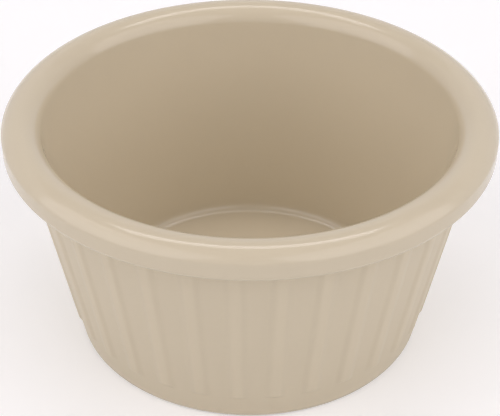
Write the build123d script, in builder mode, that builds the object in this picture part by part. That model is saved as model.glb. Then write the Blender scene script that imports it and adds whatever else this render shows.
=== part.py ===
from math import atan2, cos, sin
import os

from build123d import *

os.makedirs("parts", exist_ok=True)

# A fluted ramekin: one pressed cup with a rolled rim, 32 upright ribs and a low foot ring.
# The origin is the centre of the foot, on the table, with +Z up and the front towards -Y.
# Lengths are in millimetres, angles in degrees.

# Overall sizes
height = 45.0
rim_radius = 44.5
base_radius = 32.4  # where the line of the outer wall meets the table

# Rolled rim: an upright outer face under a rounded top
rim_depth = 5.5  # from the crest down to the underside
rim_width = 7.0  # from the outer face in to the mouth, where the inner wall begins
rim_overhang = 4.15  # from the outer face in to the wall
rim_lower_chamfer = 0.9
shoulder_drop = 2.1  # from the crest down to the top of the outer face
crest_inset = 3.35  # from the outer face in to the crest
mouth_drop = 3.0  # from the crest down to the mouth

# Hollow
floor_height = 2.4
floor_inset = 2.8  # from the base radius in to where floor and inner wall would meet
floor_rounding = 3.0

# Foot
foot_chamfer = 0.7
foot_width = 3.1
recess_depth = 0.5

# Ribs: round bars sunk into the wall until only a low crown is left, tapered out at the lower end
rib_count = 32
rib_phase = -3.4  # turn of one rib from the front
rib_radius = 4.9
rib_relief = 0.45
rib_tip_height = 4.8  # where the taper starts, inside the wall
rib_tip_length = 1.2
rib_tip_fall = 0.6  # how much the radius drops over the taper
rib_bite = 0.8  # how far a rib's upper end is buried in the rim

# How far a cut runs past the face that it opens
overrun = 1.0

# Heights and radii that follow from these sizes
underside_height = height - rim_depth
wall_top_radius = rim_radius - rim_overhang
draft = atan2(wall_top_radius - base_radius, underside_height)
shoulder_height = height - shoulder_drop
crest_radius = rim_radius - crest_inset
mouth_radius = rim_radius - rim_width
floor_radius = base_radius - floor_inset
mouth_height = height - mouth_drop
recess_radius = base_radius - foot_width

# A rib's centre line runs beside the wall, inside it, from the thin end of its taper
rib_inset = rib_radius - rib_relief
rib_start = rib_tip_height / cos(draft)
rib_length = (underside_height + rib_bite) / cos(draft) - rib_start
rib_plane = Plane(
    origin=(
        base_radius + rib_start * sin(draft) - rib_inset * cos(draft),
        0,
        rib_start * cos(draft) + rib_inset * sin(draft),
    ),
    z_dir=(sin(draft), 0, cos(draft)),
)


def corner_at(*place):
    """The corner of the outline in hand that lies at a place."""
    return vertices().sort_by_distance(place)[0]


# One rib, drawn on the right-hand side: a bar whose tapered end sinks below the wall
stand_up = (Align.CENTER, Align.CENTER, Align.MIN)
with BuildPart(rib_plane) as rib:
    Cone(rib_radius - rib_tip_fall, rib_radius, rib_tip_length, align=stand_up)
    with Locations((0, 0, rib_tip_length)):
        Cylinder(rib_radius, rib_length - rib_tip_length, align=stand_up)


with BuildPart() as ramekin:
    # The blank: foot, leaning wall and rolled rim, still filled
    with BuildSketch(Plane.XZ):
        with BuildLine():
            Polyline(
                (0, mouth_height),
                (0, 0),
                (base_radius, 0),
                (wall_top_radius, underside_height),
                (rim_radius, underside_height),
                (rim_radius, shoulder_height),
            )
            ThreePointArc(
                (rim_radius, shoulder_height),
                (crest_radius, height),
                (mouth_radius, mouth_height),
            )
            Line((mouth_radius, mouth_height), (0, mouth_height))
        make_face()
        chamfer(corner_at(base_radius, 0), foot_chamfer)
        chamfer(corner_at(rim_radius, underside_height), rim_lower_chamfer)
    revolve(axis=Axis.Z)

    # The ribs, from above the foot to inside the rim
    with PolarLocations(0, rib_count, start_angle=rib_phase - 90):
        add(rib.part)

    # The hollow: a flat floor, rounded up into the leaning wall
    with BuildSketch(Plane.XZ):
        with BuildLine():
            Polyline(
                (0, floor_height),
                (floor_radius, floor_height),
                (mouth_radius, mouth_height),
                (mouth_radius, height + overrun),
                (0, height + overrun),
                close=True,
            )
        make_face()
        fillet(corner_at(floor_radius, floor_height), floor_rounding)
    revolve(axis=Axis.Z, mode=Mode.SUBTRACT)

    # The recess that leaves a foot ring
    with BuildSketch(Plane.XY):
        Circle(recess_radius)
    extrude(amount=recess_depth, mode=Mode.SUBTRACT)

ramekin.part.label = "ramekin"
export_step(ramekin.part, "parts/ramekin.step")
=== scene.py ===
from math import atan2, cos, hypot, pi, radians, sin, tan, tau

import bmesh
import bpy
from mathutils import Matrix, Vector


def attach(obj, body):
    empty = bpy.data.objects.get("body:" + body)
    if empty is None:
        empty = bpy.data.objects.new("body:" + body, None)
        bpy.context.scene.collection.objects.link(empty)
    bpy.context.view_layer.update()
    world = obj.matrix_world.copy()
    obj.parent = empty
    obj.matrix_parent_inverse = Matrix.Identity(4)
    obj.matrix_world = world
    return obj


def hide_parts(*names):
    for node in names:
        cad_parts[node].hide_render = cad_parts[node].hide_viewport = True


# A fluted ramekin in pressed melamine, on a plain white table. Lengths are metres.
# The origin is the centre of the foot, with +Z up and the front towards -Y.
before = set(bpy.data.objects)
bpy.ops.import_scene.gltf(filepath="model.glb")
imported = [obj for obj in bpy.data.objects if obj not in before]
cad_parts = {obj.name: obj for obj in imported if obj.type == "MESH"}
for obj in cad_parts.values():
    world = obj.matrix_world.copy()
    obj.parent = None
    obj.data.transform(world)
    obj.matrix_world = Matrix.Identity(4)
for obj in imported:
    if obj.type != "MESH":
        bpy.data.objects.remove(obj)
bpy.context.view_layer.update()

MM = 0.001

# The cup's section: radii, and heights above the table
HEIGHT = 45.0 * MM
RIM_RADIUS = 44.5 * MM
BASE_RADIUS = 32.4 * MM
UNDERSIDE = 39.5 * MM
WALL_TOP_RADIUS = 40.35 * MM
SHOULDER = 42.9 * MM
CREST_RADIUS = 41.15 * MM
MOUTH = 42.0 * MM
MOUTH_RADIUS = 37.5 * MM
FLOOR = 2.4 * MM
FLOOR_RADIUS = 29.0 * MM
RECESS = 0.5 * MM
RECESS_RADIUS = 29.3 * MM

# Roundings of its corners
FLOOR_ROUNDING = 1.9 * MM
SHOULDER_ROUNDING = 0.95 * MM
RIM_LOWER_ROUNDING = 0.95 * MM
UNDERSIDE_ROUNDING = 0.7 * MM
FOOT_ROUNDING = 1.0 * MM
FOOT_INNER_ROUNDING = 0.25 * MM
RECESS_ROUNDING = 0.35 * MM

# Ribs: low rounded crowns, with soft flanks and a short run-out above the foot
RIB_COUNT = 32
RIB_PHASE = radians(-3.4)
RIB_RELIEF = 0.36 * MM
RIB_CROWN = 0.5 * MM  # half the width of the crown
RIB_FOOT = 2.1 * MM  # half the width where the flanks meet the wall
CROWN_HIGHLIGHT_REACH = 1.9 * MM  # how far from its middle line a crown carries its painted highlight
RIB_TIP = 5.1 * MM  # how high up the run-out begins
RIB_TIP_LENGTH = 0.9 * MM

# Fineness of the mesh
STEPS_PER_RIB = 22
RIB_STEP_SHARE = 0.8  # of the steps in one pitch, those on the rib itself
RIB_PITCH_SHARE = 0.68  # of the pitch, the part that the rib takes
ROOF_STEPS = 32
ROUNDING_STEPS = 6
TIP_ROWS = 14
WALL_ROWS = 6
GUARD = 0.4 * MM  # loops this close to a rounding keep the long faces flat
GUARDED_EDGE = 3 * GUARD  # an edge longer than this gets guard loops
ROWED_EDGE = 1.5 * GUARD  # a wall edge longer than this gets rows
WELD = 0.0005 * MM
SHADING_WEIGHT = 80  # how strongly the large faces set the shading of the small ones
WALL_MATCH = 0.01 * MM  # points this close to the wall's line belong to the wall

DRAFT = atan2(WALL_TOP_RADIUS - BASE_RADIUS, UNDERSIDE)


# The section


def draw_roof(section):
    """The rolled top of the rim: a point swung from the mouth over the crest to the shoulder."""
    reach = RIM_RADIUS - CREST_RADIUS
    drop = HEIGHT - SHOULDER
    roof_radius = (reach**2 + drop**2) / (2 * drop)
    centre = Vector((CREST_RADIUS, 0.0, HEIGHT - roof_radius))
    mouth = section.verts.new((MOUTH_RADIUS, 0.0, MOUTH))
    to_crest = atan2(CREST_RADIUS - MOUTH_RADIUS, MOUTH - centre.z)
    to_shoulder = atan2(reach, SHOULDER - centre.z)
    swung = bmesh.ops.spin(
        section,
        geom=[mouth],
        cent=centre,
        axis=(0.0, 1.0, 0.0),
        angle=to_crest + to_shoulder,
        steps=ROOF_STEPS,
    )
    last = swung["geom_last"]
    shoulder = next(piece for piece in last if isinstance(piece, bmesh.types.BMVert))
    shoulder.co = (RIM_RADIUS, 0.0, SHOULDER)
    return mouth, shoulder


def round_corner(section, corner, radius):
    """Rounds a corner of the section, which has one edge on each side."""
    one, other = [edge.other_vert(corner).co - corner.co for edge in corner.link_edges]
    turn = pi - one.normalized().angle(other.normalized())
    bmesh.ops.bevel(
        section,
        geom=[corner],
        offset=radius * tan(turn / 2),
        offset_type="OFFSET",
        segments=ROUNDING_STEPS,
        profile=0.5,
        affect="VERTICES",
        material=-1,
    )


def draw_section():
    """Half the cup's section, from the middle of the floor over the rim to the middle below."""
    section = bmesh.new()
    mouth, shoulder = draw_roof(section)
    inner_points = [(0.0, FLOOR), (FLOOR_RADIUS, FLOOR)]
    outer_points = [
        (RIM_RADIUS, UNDERSIDE),
        (WALL_TOP_RADIUS, UNDERSIDE),
        (BASE_RADIUS, 0.0),
        (RECESS_RADIUS, 0.0),
        (RECESS_RADIUS, RECESS),
        (0.0, RECESS),
    ]
    inside = [section.verts.new((radius, 0.0, height)) for radius, height in inner_points]
    outside = [section.verts.new((radius, 0.0, height)) for radius, height in outer_points]
    for chain in (inside + [mouth], [shoulder] + outside):
        for a, b in zip(chain, chain[1:]):
            section.edges.new((a, b))
    for corner, radius in (
        (inside[1], FLOOR_ROUNDING),
        (shoulder, SHOULDER_ROUNDING),
        (outside[0], RIM_LOWER_ROUNDING),
        (outside[1], UNDERSIDE_ROUNDING),
        (outside[2], FOOT_ROUNDING),
        (outside[3], FOOT_INNER_ROUNDING),
        (outside[4], RECESS_ROUNDING),
    ):
        round_corner(section, corner, radius)
    return section


def beside_wall(place):
    """A place's distance out from the wall's line, and how far up the wall it lies."""
    radius = hypot(place.x, place.y) - BASE_RADIUS
    out = radius * cos(DRAFT) - place.z * sin(DRAFT)
    up = radius * sin(DRAFT) + place.z * cos(DRAFT)
    return out, up


def cut_level(section, height):
    """Cuts the section's lines where they pass a height."""
    bmesh.ops.bisect_plane(
        section,
        geom=section.verts[:] + section.edges[:],
        plane_co=(0.0, 0.0, height),
        plane_no=(0.0, 0.0, 1.0),
        dist=WELD,
    )


def divide_section(section):
    """Guard loops on the long faces, and rows up the fluted wall, closest at the ribs' tips."""
    for edge in [edge for edge in section.edges if edge.calc_length() > GUARDED_EDGE]:
        for end in tuple(edge.verts):
            bmesh.utils.edge_split(edge, end, GUARD / edge.calc_length())
    tip_low = RIB_TIP - GUARD
    tip_high = RIB_TIP + RIB_TIP_LENGTH + GUARD
    cut_level(section, tip_low)
    cut_level(section, tip_high)
    wall = [
        edge
        for edge in section.edges
        if edge.calc_length() > ROWED_EDGE
        and all(abs(beside_wall(vert.co)[0]) < WALL_MATCH for vert in edge.verts)
    ]
    middles = {edge: (edge.verts[0].co.z + edge.verts[1].co.z) / 2 for edge in wall}
    tip_rows = [edge for edge in wall if tip_low < middles[edge] < tip_high]
    wall_rows = [edge for edge in wall if middles[edge] > tip_high]
    bmesh.ops.subdivide_edges(section, edges=tip_rows, cuts=TIP_ROWS)
    bmesh.ops.subdivide_edges(section, edges=wall_rows, cuts=WALL_ROWS)


# The cup


def crowd_to_ribs(angle):
    """Moves an evenly stepped angle so that most steps fall on the ribs."""
    pitch = tau / RIB_COUNT
    turns = (angle - RIB_PHASE) / pitch
    rib = round(turns)
    off = turns - rib
    if abs(off) < RIB_STEP_SHARE / 2:
        off *= RIB_PITCH_SHARE / RIB_STEP_SHARE
    else:
        past = (abs(off) - RIB_STEP_SHARE / 2) / (1 - RIB_STEP_SHARE)
        off = (RIB_PITCH_SHARE / 2 + past * (1 - RIB_PITCH_SHARE)) * (1 if off > 0 else -1)
    return RIB_PHASE + (rib + off) * pitch


def ease(share):
    """A smooth S from nought to one."""
    share = min(max(share, 0.0), 1.0)
    return share * share * (3 - 2 * share)


def rib_shares(place, up):
    """How much of a rib stands at a place on the wall, and how much of its crown's painted
    highlight.
    """
    pitch = tau / RIB_COUNT
    turns = (atan2(place.x, -place.y) - RIB_PHASE) / pitch
    aside = abs(turns - round(turns)) * pitch * hypot(place.x, place.y)
    flank = ease((RIB_FOOT - aside) / (RIB_FOOT - RIB_CROWN))
    tip = ease((up * cos(DRAFT) - RIB_TIP) / RIB_TIP_LENGTH)
    # Share of the crown's painted highlight, fading from the rib's middle line
    painted_light = ease(1 - aside / CROWN_HIGHLIGHT_REACH)
    return flank * tip, painted_light * tip


def press_ribs(cup):
    """Raises the ribs on the outer wall, up to where they run into the rim's underside."""
    # The finish reads these three: rib height, which also sets the painted shade on the flanks,
    # the crown's painted highlight, and where the fluted wall is
    relief = cup.verts.layers.float.new("relief")
    crown = cup.verts.layers.float.new("crown")
    fluted = cup.verts.layers.float.new("fluted")
    for vert in cup.verts:
        out, up = beside_wall(vert.co)
        on_wall = -WALL_MATCH < out < RIB_RELIEF and FOOT_ROUNDING < vert.co.z < UNDERSIDE
        if not on_wall:
            continue
        share, painted_light = rib_shares(vert.co, up)
        vert[relief] = share
        vert[crown] = painted_light
        vert[fluted] = 1.0
        raised = max(0.0, RIB_RELIEF * share - out)
        outward = Vector((vert.co.x, vert.co.y, 0.0)).normalized() * cos(DRAFT)
        outward.z = -sin(DRAFT)
        vert.co += outward * raised


def press_cup():
    """The whole cup, turned from its section and fluted, as one closed skin."""
    cup = draw_section()
    divide_section(cup)
    bmesh.ops.spin(
        cup,
        geom=cup.verts[:] + cup.edges[:],
        cent=(0.0, 0.0, 0.0),
        axis=(0.0, 0.0, 1.0),
        angle=tau,
        steps=RIB_COUNT * STEPS_PER_RIB,
        use_merge=True,
    )
    bmesh.ops.remove_doubles(cup, verts=cup.verts[:], dist=WELD)
    bmesh.ops.recalc_face_normals(cup, faces=cup.faces[:])
    for vert in cup.verts:
        radius = hypot(vert.co.x, vert.co.y)
        angle = crowd_to_ribs(atan2(vert.co.x, -vert.co.y))
        vert.co = (radius * sin(angle), -radius * cos(angle), vert.co.z)
    press_ribs(cup)
    for face in cup.faces:
        face.smooth = True
    mesh = bpy.data.meshes.new("cup")
    cup.to_mesh(mesh)
    cup.free()
    piece = bpy.data.objects.new("cup", mesh)
    bpy.context.scene.collection.objects.link(piece)
    weighted = piece.modifiers.new("even_shading", "WEIGHTED_NORMAL")
    weighted.keep_sharp = True
    weighted.weight = SHADING_WEIGHT
    return piece


# Finishes

# Melamine: two tones of bone, clouded and flecked, with a painted highlight on rib crowns and
# painted shade on rib flanks
BONE = (0.653, 0.571, 0.422, 1.0)
PALE_BONE = (0.684, 0.602, 0.446, 1.0)
CLOUD_SCALE = 45.0
CLOUD_DEPTH = 1.2
FLECK_SCALE = 1100.0
FLECK_SHARE = 0.3  # of the mix of clouds and flecks
CROWN_PAINTED_HIGHLIGHT = 0.030  # painted highlight: how much paler the middle of a crown is painted than the panels
FLANK_PAINTED_SHADE = 0.022  # painted shade: how much darker the middle of a flank is painted

# Its gloss, as roughness: glossy on rim and bowl, duller on the fluted wall and the foot
GLOSS = 0.09
FOOT_ROUGHNESS = 0.50
FOOT_RUBBED_BELOW = 0.05 * MM
FOOT_CLEAN_ABOVE = 0.35 * MM
FLUTED_DULLING = 0.36
CLOUD_DULLING = 0.06
RIPPLE_SCALE = 420.0
RIPPLE_STRENGTH = 0.35
RIPPLE_HEIGHT = 0.012 * MM
MELAMINE_IOR = 1.5

# White paint of table and backdrop
TABLE_PALENESS = 0.85
BACKDROP_PALENESS = 0.74
PAINT_CLOUD_SCALE = 30.0
PAINT_CLOUDING = 0.02  # how much paler the palest spots of the paint are
PAINT_ROUGHNESS = 0.9
TABLE_WHITENING = 0.25  # lifts the lit table to plain white for the camera, and in gloss
BACKDROP_WHITENING = 0.37  # the same for the backdrop, which catches less light

# Mottling, around its middle value
MOTTLE_DETAIL = 3.0
MOTTLE_ROUGHNESS = 0.55
MOTTLE_MIDDLE = 0.5


def reckon(tree, operation, *terms, clamp=False):
    """A Math node's result. Each term is a number or the output of another node."""
    node = tree.nodes.new("ShaderNodeMath")
    node.operation = operation
    node.use_clamp = clamp
    for socket, term in zip(node.inputs, terms):
        if isinstance(term, bpy.types.NodeSocket):
            tree.links.new(term, socket)
        else:
            socket.default_value = term
    return node.outputs["Value"]


def new_material(name):
    """A material with only its Principled shader: the material, its node tree, the shader."""
    material = bpy.data.materials.new(name)
    material.use_nodes = True
    tree = material.node_tree
    return material, tree, tree.nodes["Principled BSDF"]


def new_group(name, inputs, outputs):
    """An empty node group with named sockets, each given as name: (socket type, default)."""
    group = bpy.data.node_groups.new(name, "ShaderNodeTree")
    for side, sockets in (("INPUT", inputs), ("OUTPUT", outputs)):
        for label, (kind, default) in sockets.items():
            socket = group.interface.new_socket(name=label, in_out=side, socket_type=kind)
            if default is not None:
                socket.default_value = default
    given = group.nodes.new("NodeGroupInput").outputs
    result = group.nodes.new("NodeGroupOutput").inputs
    return group, given, result


def mottle_group():
    """Soft, uneven cloudiness around its middle, as in pressed resin or a painted board."""
    group, given, result = new_group(
        "mottle",
        {
            "Vector": ("NodeSocketVector", None),
            "Scale": ("NodeSocketFloat", CLOUD_SCALE),
            "Depth": ("NodeSocketFloat", 1.0),
        },
        {"Value": ("NodeSocketFloat", None)},
    )
    noise = group.nodes.new("ShaderNodeTexNoise")
    noise.inputs["Detail"].default_value = MOTTLE_DETAIL
    noise.inputs["Roughness"].default_value = MOTTLE_ROUGHNESS
    group.links.new(given["Vector"], noise.inputs["Vector"])
    group.links.new(given["Scale"], noise.inputs["Scale"])
    centred = reckon(group, "SUBTRACT", noise.outputs["Fac"], MOTTLE_MIDDLE)
    deepened = reckon(group, "MULTIPLY_ADD", centred, given["Depth"], MOTTLE_MIDDLE)
    group.links.new(deepened, result["Value"])
    return group


def painted_light_group():
    """Paints a rib's crown a little paler, as a painted highlight, and its flanks a little
    darker, as painted shade.
    """
    group, given, result = new_group(
        "rib_painted_highlight_and_shade",
        {
            "Crown": ("NodeSocketFloat", 0.0),
            "Relief": ("NodeSocketFloat", 0.0),
            "Color": ("NodeSocketColor", None),
        },
        {"Color": ("NodeSocketColor", None)},
    )
    # Relief times what it lacks of 1 peaks at a quarter, half-way up a flank
    below = reckon(group, "SUBTRACT", 1.0, given["Relief"])
    flank = reckon(group, "MULTIPLY", given["Relief"], below)
    # Painted shade darkens the flanks, and a painted highlight lightens the crown
    flank_shaded = reckon(group, "MULTIPLY_ADD", flank, -4 * FLANK_PAINTED_SHADE, 1.0)
    crown_highlighted = reckon(group, "MULTIPLY_ADD", given["Crown"], CROWN_PAINTED_HIGHLIGHT, flank_shaded)
    painted_tone = group.nodes.new("ShaderNodeVectorMath")
    painted_tone.operation = "SCALE"
    group.links.new(given["Color"], painted_tone.inputs[0])
    group.links.new(crown_highlighted, painted_tone.inputs["Scale"])
    group.links.new(painted_tone.outputs["Vector"], result["Color"])
    return group


def place_group(tree, group, **values):
    """A group's node in a material, with its own values."""
    node = tree.nodes.new("ShaderNodeGroup")
    node.node_tree = group
    for label, value in values.items():
        node.inputs[label].default_value = value
    return node


def object_place(tree):
    """The place of a surface point on its own piece."""
    return tree.nodes.new("ShaderNodeTexCoord").outputs["Object"]


def mottle_on(tree, mottle, place, scale, depth=1.0):
    """A mottle's value at a place, at a scale and depth of its own."""
    spots = place_group(tree, mottle, Scale=scale, Depth=depth)
    tree.links.new(place, spots.inputs["Vector"])
    return spots.outputs["Value"]


def tone_between(tree, share, low, high):
    """A colour between two, by a share that changes over the surface."""
    tone = tree.nodes.new("ShaderNodeMix")
    tone.data_type = "RGBA"
    tone.inputs["A"].default_value = low
    tone.inputs["B"].default_value = high
    tree.links.new(share, tone.inputs["Factor"])
    return tone.outputs["Result"]


def stored_on_cup(tree, layer):
    """One of the values that the cup's mesh carries."""
    stored = tree.nodes.new("ShaderNodeAttribute")
    stored.attribute_name = layer
    return stored.outputs["Fac"]


def melamine(mottle, painted_light):
    """Bone-coloured melamine, clouded and flecked, with a painted highlight on the rib crowns
    and painted shade on their flanks, glossy but for its fluted wall and foot.
    """
    material, tree, shader = new_material("bone_melamine")
    link = tree.links.new
    place = object_place(tree)

    clouds = mottle_on(tree, mottle, place, CLOUD_SCALE, CLOUD_DEPTH)
    mixed = tree.nodes.new("ShaderNodeMix")
    mixed.data_type = "FLOAT"
    mixed.inputs["Factor"].default_value = FLECK_SHARE
    link(clouds, mixed.inputs["A"])
    link(mottle_on(tree, mottle, place, FLECK_SCALE), mixed.inputs["B"])
    # Painted highlight on the rib crowns and painted shade on their flanks, scaling the bone
    # tone
    painted_tone = place_group(tree, painted_light)
    link(stored_on_cup(tree, "crown"), painted_tone.inputs["Crown"])
    link(stored_on_cup(tree, "relief"), painted_tone.inputs["Relief"])
    link(tone_between(tree, mixed.outputs["Result"], BONE, PALE_BONE), painted_tone.inputs["Color"])
    link(painted_tone.outputs["Color"], shader.inputs["Base Color"])

    height = tree.nodes.new("ShaderNodeSeparateXYZ")
    link(place, height.inputs["Vector"])
    rubbed = tree.nodes.new("ShaderNodeMapRange")
    rubbed.inputs["From Min"].default_value = FOOT_RUBBED_BELOW
    rubbed.inputs["From Max"].default_value = FOOT_CLEAN_ABOVE
    rubbed.inputs["To Min"].default_value = FOOT_ROUGHNESS
    rubbed.inputs["To Max"].default_value = GLOSS
    link(height.outputs["Z"], rubbed.inputs["Value"])
    fluted = stored_on_cup(tree, "fluted")
    duller = reckon(tree, "MULTIPLY_ADD", fluted, FLUTED_DULLING, rubbed.outputs["Result"])
    roughness = reckon(tree, "MULTIPLY_ADD", clouds, CLOUD_DULLING, duller)
    link(roughness, shader.inputs["Roughness"])

    ripple = tree.nodes.new("ShaderNodeBump")
    ripple.inputs["Strength"].default_value = RIPPLE_STRENGTH
    ripple.inputs["Distance"].default_value = RIPPLE_HEIGHT
    link(mottle_on(tree, mottle, place, RIPPLE_SCALE), ripple.inputs["Height"])
    link(ripple.outputs["Normal"], shader.inputs["Normal"])
    shader.inputs["IOR"].default_value = MELAMINE_IOR
    return material


def white_paint(name, mottle, paleness, whitening):
    """Matt white, lifted by the whitening for the camera and in gloss, but not as light."""
    material, tree, shader = new_material(name)
    clouds = mottle_on(tree, mottle, object_place(tree), PAINT_CLOUD_SCALE)
    paler = paleness + PAINT_CLOUDING
    tone = tone_between(
        tree, clouds, (paleness, paleness, paleness, 1.0), (paler, paler, paler, 1.0)
    )
    tree.links.new(tone, shader.inputs["Base Color"])
    path = tree.nodes.new("ShaderNodeLightPath").outputs
    seen = reckon(tree, "ADD", path["Is Camera Ray"], path["Is Glossy Ray"])
    seen = reckon(tree, "ADD", seen, path["Is Transmission Ray"], clamp=True)
    glow = reckon(tree, "MULTIPLY", seen, whitening)
    tree.links.new(glow, shader.inputs["Emission Strength"])
    shader.inputs["Emission Color"].default_value = (1.0, 1.0, 1.0, 1.0)
    shader.inputs["Roughness"].default_value = PAINT_ROUGHNESS
    shader.inputs["Specular IOR Level"].default_value = 0.0
    return material


# The table, the backdrop, the lamps and the camera

TABLE_REACH = 3.0  # from its middle to each side
TABLE_DROP = 0.01 * MM  # the table lies this far below the foot

BACKDROP_RADIUS = 1.5
BACKDROP_HEIGHT = 1.3
BACKDROP_STEPS = 96

# Each lamp's azimuth and elevation in degrees, width and depth in metres, and watts.
# Azimuth 0 is the front, 90 the right.
LAMPS = {
    "left_softbox": (-64, 35, 1.35, 0.95, 4.75),
    "right_softbox": (59, 35, 1.35, 0.95, 4.75),
    "high_strip": (180, 71, 0.80, 0.12, 1.35),
    "top_strip": (180, 79, 0.90, 0.06, 0.8),
}
LAMP_DISTANCE = 1.0
LAMP_AIM = (0.0, 0.0, 25.0 * MM)
LAMP_TINT = (1.0, 0.957, 0.98)  # a little rosy, against the cup's yellow-green bone colour
SURROUND = 0.343  # strength of the light from all round


def stand_in_studio(name, shape, material):
    """Makes a mesh of a bmesh and sets it up round the cup, as no part of it."""
    mesh = bpy.data.meshes.new(name)
    shape.to_mesh(mesh)
    shape.free()
    mesh.materials.append(material)
    piece = bpy.data.objects.new(name, mesh)
    bpy.context.scene.collection.objects.link(piece)
    return piece


def lay_table(material):
    """A wide flat table, just below the foot."""
    top = bmesh.new()
    bmesh.ops.create_grid(top, x_segments=1, y_segments=1, size=TABLE_REACH)
    piece = stand_in_studio("table", top, material)
    piece.location.z = -TABLE_DROP


def stand_backdrop(material):
    """A white sheet all round the studio, behind lamps and camera, that the gloss shows."""
    sheet = bmesh.new()
    foot = sheet.verts.new((BACKDROP_RADIUS, 0.0, -TABLE_DROP))
    top = sheet.verts.new((BACKDROP_RADIUS, 0.0, BACKDROP_HEIGHT))
    upright = sheet.edges.new((foot, top))
    bmesh.ops.spin(
        sheet,
        geom=[foot, top, upright],
        cent=(0.0, 0.0, 0.0),
        axis=(0.0, 0.0, 1.0),
        angle=tau,
        steps=BACKDROP_STEPS,
        use_merge=True,
    )
    piece = stand_in_studio("backdrop", sheet, material)


def hang_lamp(name, azimuth, elevation, width, depth, watts):
    """A soft rectangular lamp that faces the cup."""
    lamp = bpy.data.lights.new(name, "AREA")
    lamp.shape = "RECTANGLE"
    lamp.size = width
    lamp.size_y = depth
    lamp.energy = watts
    lamp.color = LAMP_TINT
    turn, lift = radians(azimuth), radians(elevation)
    towards = Vector((sin(turn) * cos(lift), -cos(turn) * cos(lift), sin(lift)))
    box = bpy.data.objects.new(name, lamp)
    box.location = Vector(LAMP_AIM) + towards * LAMP_DISTANCE
    box.rotation_euler = towards.to_track_quat("Z", "Y").to_euler()
    bpy.context.scene.collection.objects.link(box)


def light_studio():
    """A softbox on each side of the camera, two strips high behind, and an even surround."""
    for name, setting in LAMPS.items():
        hang_lamp(name, *setting)
    world = bpy.data.worlds.new("studio")
    bpy.context.scene.world = world
    world.use_nodes = True
    surround = world.node_tree.nodes["Background"]
    surround.inputs["Color"].default_value = (*LAMP_TINT, 1.0)
    surround.inputs["Strength"].default_value = SURROUND


# The camera, as it stood for the photograph
CAMERA_ELEVATION = radians(34.9)
CAMERA_DISTANCE = 0.2804
CAMERA_AIM = (0.07 * MM, 0.0, 22.88 * MM)
CAMERA_ROLL = radians(0.27)
CAMERA_LENS = 107.5  # millimetres, like the sensor's width
CAMERA_SENSOR = 36.0
CAMERA_NEAR = 0.01


def set_camera():
    """Aims the camera at the cup from the front and above, turned a little about its axis."""
    back = Vector((0.0, -cos(CAMERA_ELEVATION), sin(CAMERA_ELEVATION)))
    level = Vector((1.0, 0.0, 0.0))
    upright = back.cross(level)
    right = level * cos(CAMERA_ROLL) + upright * sin(CAMERA_ROLL)
    up = back.cross(right)
    view = bpy.data.cameras.new("camera")
    view.lens = CAMERA_LENS
    view.sensor_width = CAMERA_SENSOR
    view.clip_start = CAMERA_NEAR
    camera = bpy.data.objects.new("camera", view)
    place = Matrix((right, up, back)).transposed().to_4x4()
    place.translation = Vector(CAMERA_AIM) + back * CAMERA_DISTANCE
    camera.matrix_world = place
    bpy.context.scene.collection.objects.link(camera)
    bpy.context.scene.camera = camera


mottle = mottle_group()
cup = press_cup()
# The bone finish carries a painted highlight on the rib crowns and painted shade on their flanks
cup.data.materials.append(melamine(mottle, painted_light_group()))
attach(cup, "root")
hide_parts("ramekin")

lay_table(white_paint("white_table", mottle, TABLE_PALENESS, TABLE_WHITENING))
stand_backdrop(
    white_paint("white_backdrop", mottle, BACKDROP_PALENESS, BACKDROP_WHITENING)
)
light_studio()
set_camera()
bpy.context.scene.view_settings.view_transform = "Standard"
